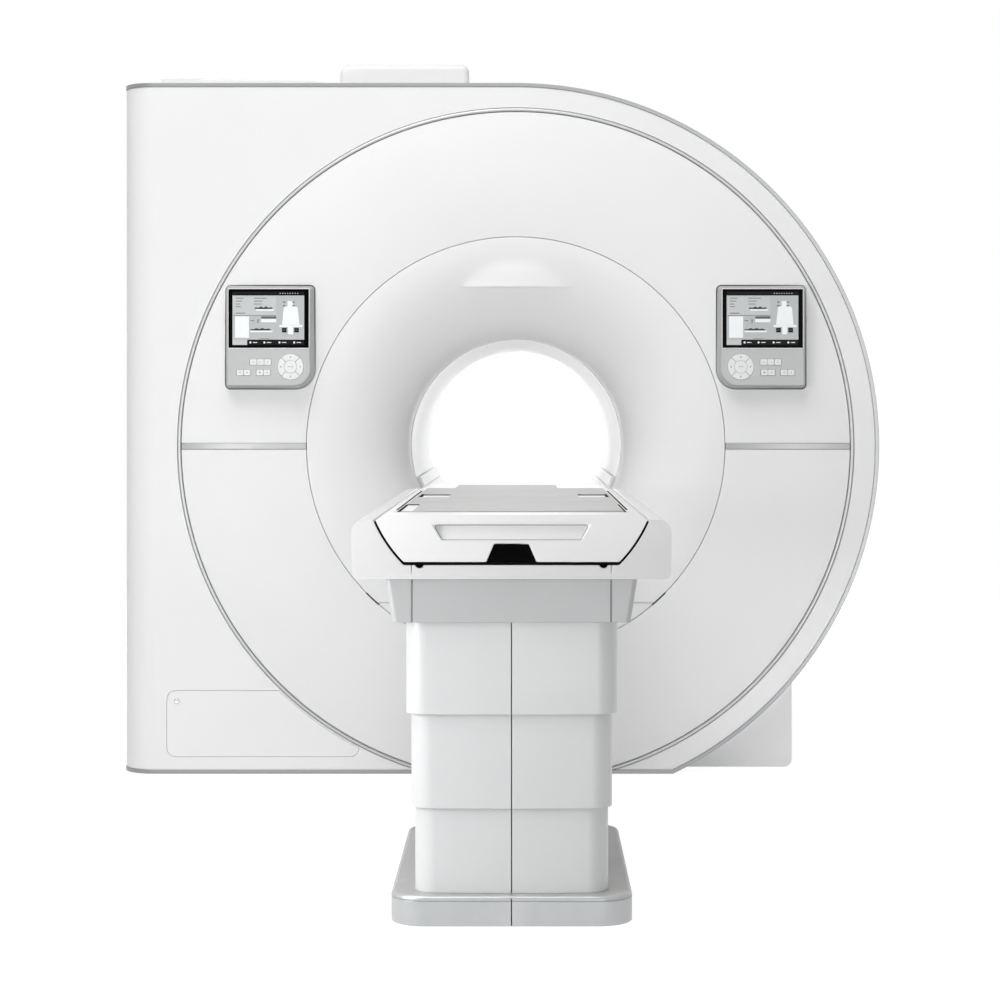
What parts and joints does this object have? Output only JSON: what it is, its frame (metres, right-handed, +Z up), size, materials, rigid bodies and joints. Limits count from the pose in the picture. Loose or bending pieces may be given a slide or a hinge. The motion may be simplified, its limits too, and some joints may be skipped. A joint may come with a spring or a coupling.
{
  "type": "mri scanner",
  "caption": "Floor-standing magnetic resonance scanner with a round patient bore, twin control consoles and a lifting patient table with a sliding cradle.",
  "frame": {"origin": "on the floor under the middle of the magnet, at the centre of the magnet's four anchor holes", "axes": "+X to the right as seen from the table end, +Y along the bore from the table into the magnet, +Z up"},
  "size_m": [2.2639, 3.98, 2.222],
  "materials": {
    "cover_white": "satin",
    "table_grey": "satin",
    "liner_white": "satin",
    "trim_metal": "satin",
    "plinth_silver": "satin",
    "console_grey": "satin",
    "screen_glass": "gloss",
    "key_grey": "satin",
    "deck_grey": "matte",
    "paddle_black": "satin",
    "lock_chrome": "polished",
    "base_steel": "satin",
    "vessel_metal": "satin",
    "coil_resin": "matte",
    "tube_steel": "satin"
  },
  "bodies": {
    "root": {"magnet_base": "base_steel", "cryostat_vessel": "vessel_metal", "gradient_coil": "coil_resin", "bore_liner": "liner_white", "bore_bridge": "cover_white", "front_cover": "cover_white", "edge_trim": "trim_metal", "upper_disc_panel": "cover_white", "lower_disc_panel": "cover_white", "disc_ring": "trim_metal", "disc_strips": "trim_metal", "bore_funnel": "cover_white", "funnel_lower_panel": "cover_white", "service_hatch": "cover_white", "barrel_cover": "cover_white", "rear_cover": "cover_white", "rear_funnel": "cover_white", "side_cabinet": "cover_white", "turret_cover": "cover_white", "left_console": "console_grey", "right_console": "console_grey", "left_screen": "screen_glass", "right_screen": "screen_glass", "table_plinth": "plinth_silver", "lower_column_cover": "table_grey", "lower_lift_tube": "tube_steel"},
    "middle_stage": {"middle_column_cover": "table_grey", "middle_lift_tube": "tube_steel"},
    "table": {"upper_column_cover": "table_grey", "upper_lift_tube": "tube_steel", "under_housing": "table_grey", "table_frame": "cover_white"},
    "cradle": {"cradle_shell": "cover_white", "cradle_deck": "deck_grey"},
    "release_paddle": {"release_paddle": "paddle_black"},
    "hatch_lock": {"hatch_lock": "lock_chrome"},
    "left_key_1": {"left_key_1": "key_grey"},
    "left_key_2": {"left_key_2": "key_grey"},
    "left_key_3": {"left_key_3": "key_grey"},
    "left_key_4": {"left_key_4": "key_grey"},
    "left_key_5": {"left_key_5": "key_grey"},
    "left_key_6": {"left_key_6": "key_grey"},
    "left_key_7": {"left_key_7": "key_grey"},
    "left_pad_up": {"left_pad_up": "key_grey"},
    "left_pad_right": {"left_pad_right": "key_grey"},
    "left_pad_down": {"left_pad_down": "key_grey"},
    "left_pad_left": {"left_pad_left": "key_grey"},
    "left_pad_centre": {"left_pad_centre": "key_grey"},
    "right_key_1": {"right_key_1": "key_grey"},
    "right_key_2": {"right_key_2": "key_grey"},
    "right_key_3": {"right_key_3": "key_grey"},
    "right_key_4": {"right_key_4": "key_grey"},
    "right_key_5": {"right_key_5": "key_grey"},
    "right_key_6": {"right_key_6": "key_grey"},
    "right_key_7": {"right_key_7": "key_grey"},
    "right_pad_up": {"right_pad_up": "key_grey"},
    "right_pad_right": {"right_pad_right": "key_grey"},
    "right_pad_down": {"right_pad_down": "key_grey"},
    "right_pad_left": {"right_pad_left": "key_grey"},
    "right_pad_centre": {"right_pad_centre": "key_grey"}
  },
  "joints": [
    {"name": "table_lift", "type": "slide", "parent": "root", "child": "table", "axis": [0, 0, 1], "range_m": [-0.35, 0]},
    {"name": "stage_lift", "type": "slide", "parent": "root", "child": "middle_stage", "axis": [0, 0, 1], "range_m": [-0.175, 0]},
    {"name": "cradle_slide", "type": "slide", "parent": "table", "child": "cradle", "axis": [0, 1, 0], "range_m": [0, 1.85]},
    {"name": "release_press", "type": "hinge", "parent": "cradle", "child": "release_paddle", "pos_m": [0, -3.041, 0.8009], "axis": [1, 0, 0], "range_deg": [0, 15], "stiffness_Nm_per_rad": 0.5, "springref_deg": -5.73},
    {"name": "hatch_lock_turn", "type": "hinge", "parent": "root", "child": "hatch_lock", "pos_m": [-1.0125, -0.925, 0.218], "axis": [0, -1, 0], "range_deg": [0, 90]},
    {"name": "left_key_1_press", "type": "slide", "parent": "root", "child": "left_key_1", "axis": [0, 1, 0], "range_m": [0, 0.001], "stiffness_N_per_m": 1200, "springref_m": -0.0005},
    {"name": "left_key_2_press", "type": "slide", "parent": "root", "child": "left_key_2", "axis": [0, 1, 0], "range_m": [0, 0.001], "stiffness_N_per_m": 1200, "springref_m": -0.0005},
    {"name": "left_key_3_press", "type": "slide", "parent": "root", "child": "left_key_3", "axis": [0, 1, 0], "range_m": [0, 0.001], "stiffness_N_per_m": 1200, "springref_m": -0.0005},
    {"name": "left_key_4_press", "type": "slide", "parent": "root", "child": "left_key_4", "axis": [0, 1, 0], "range_m": [0, 0.001], "stiffness_N_per_m": 1200, "springref_m": -0.0005},
    {"name": "left_key_5_press", "type": "slide", "parent": "root", "child": "left_key_5", "axis": [0, 1, 0], "range_m": [0, 0.001], "stiffness_N_per_m": 1200, "springref_m": -0.0005},
    {"name": "left_key_6_press", "type": "slide", "parent": "root", "child": "left_key_6", "axis": [0, 1, 0], "range_m": [0, 0.001], "stiffness_N_per_m": 1200, "springref_m": -0.0005},
    {"name": "left_key_7_press", "type": "slide", "parent": "root", "child": "left_key_7", "axis": [0, 1, 0], "range_m": [0, 0.001], "stiffness_N_per_m": 1200, "springref_m": -0.0005},
    {"name": "left_pad_up_press", "type": "slide", "parent": "root", "child": "left_pad_up", "axis": [0, 1, 0], "range_m": [0, 0.001], "stiffness_N_per_m": 1200, "springref_m": -0.0005},
    {"name": "left_pad_right_press", "type": "slide", "parent": "root", "child": "left_pad_right", "axis": [0, 1, 0], "range_m": [0, 0.001], "stiffness_N_per_m": 1200, "springref_m": -0.0005},
    {"name": "left_pad_down_press", "type": "slide", "parent": "root", "child": "left_pad_down", "axis": [0, 1, 0], "range_m": [0, 0.001], "stiffness_N_per_m": 1200, "springref_m": -0.0005},
    {"name": "left_pad_left_press", "type": "slide", "parent": "root", "child": "left_pad_left", "axis": [0, 1, 0], "range_m": [0, 0.001], "stiffness_N_per_m": 1200, "springref_m": -0.0005},
    {"name": "left_pad_centre_press", "type": "slide", "parent": "root", "child": "left_pad_centre", "axis": [0, 1, 0], "range_m": [0, 0.001], "stiffness_N_per_m": 1200, "springref_m": -0.0005},
    {"name": "right_key_1_press", "type": "slide", "parent": "root", "child": "right_key_1", "axis": [0, 1, 0], "range_m": [0, 0.001], "stiffness_N_per_m": 1200, "springref_m": -0.0005},
    {"name": "right_key_2_press", "type": "slide", "parent": "root", "child": "right_key_2", "axis": [0, 1, 0], "range_m": [0, 0.001], "stiffness_N_per_m": 1200, "springref_m": -0.0005},
    {"name": "right_key_3_press", "type": "slide", "parent": "root", "child": "right_key_3", "axis": [0, 1, 0], "range_m": [0, 0.001], "stiffness_N_per_m": 1200, "springref_m": -0.0005},
    {"name": "right_key_4_press", "type": "slide", "parent": "root", "child": "right_key_4", "axis": [0, 1, 0], "range_m": [0, 0.001], "stiffness_N_per_m": 1200, "springref_m": -0.0005},
    {"name": "right_key_5_press", "type": "slide", "parent": "root", "child": "right_key_5", "axis": [0, 1, 0], "range_m": [0, 0.001], "stiffness_N_per_m": 1200, "springref_m": -0.0005},
    {"name": "right_key_6_press", "type": "slide", "parent": "root", "child": "right_key_6", "axis": [0, 1, 0], "range_m": [0, 0.001], "stiffness_N_per_m": 1200, "springref_m": -0.0005},
    {"name": "right_key_7_press", "type": "slide", "parent": "root", "child": "right_key_7", "axis": [0, 1, 0], "range_m": [0, 0.001], "stiffness_N_per_m": 1200, "springref_m": -0.0005},
    {"name": "right_pad_up_press", "type": "slide", "parent": "root", "child": "right_pad_up", "axis": [0, 1, 0], "range_m": [0, 0.001], "stiffness_N_per_m": 1200, "springref_m": -0.0005},
    {"name": "right_pad_right_press", "type": "slide", "parent": "root", "child": "right_pad_right", "axis": [0, 1, 0], "range_m": [0, 0.001], "stiffness_N_per_m": 1200, "springref_m": -0.0005},
    {"name": "right_pad_down_press", "type": "slide", "parent": "root", "child": "right_pad_down", "axis": [0, 1, 0], "range_m": [0, 0.001], "stiffness_N_per_m": 1200, "springref_m": -0.0005},
    {"name": "right_pad_left_press", "type": "slide", "parent": "root", "child": "right_pad_left", "axis": [0, 1, 0], "range_m": [0, 0.001], "stiffness_N_per_m": 1200, "springref_m": -0.0005},
    {"name": "right_pad_centre_press", "type": "slide", "parent": "root", "child": "right_pad_centre", "axis": [0, 1, 0], "range_m": [0, 0.001], "stiffness_N_per_m": 1200, "springref_m": -0.0005}
  ],
  "couplings": [
    {"joint": "stage_lift", "follows": "table_lift", "ratio": 0.5}
  ]
}
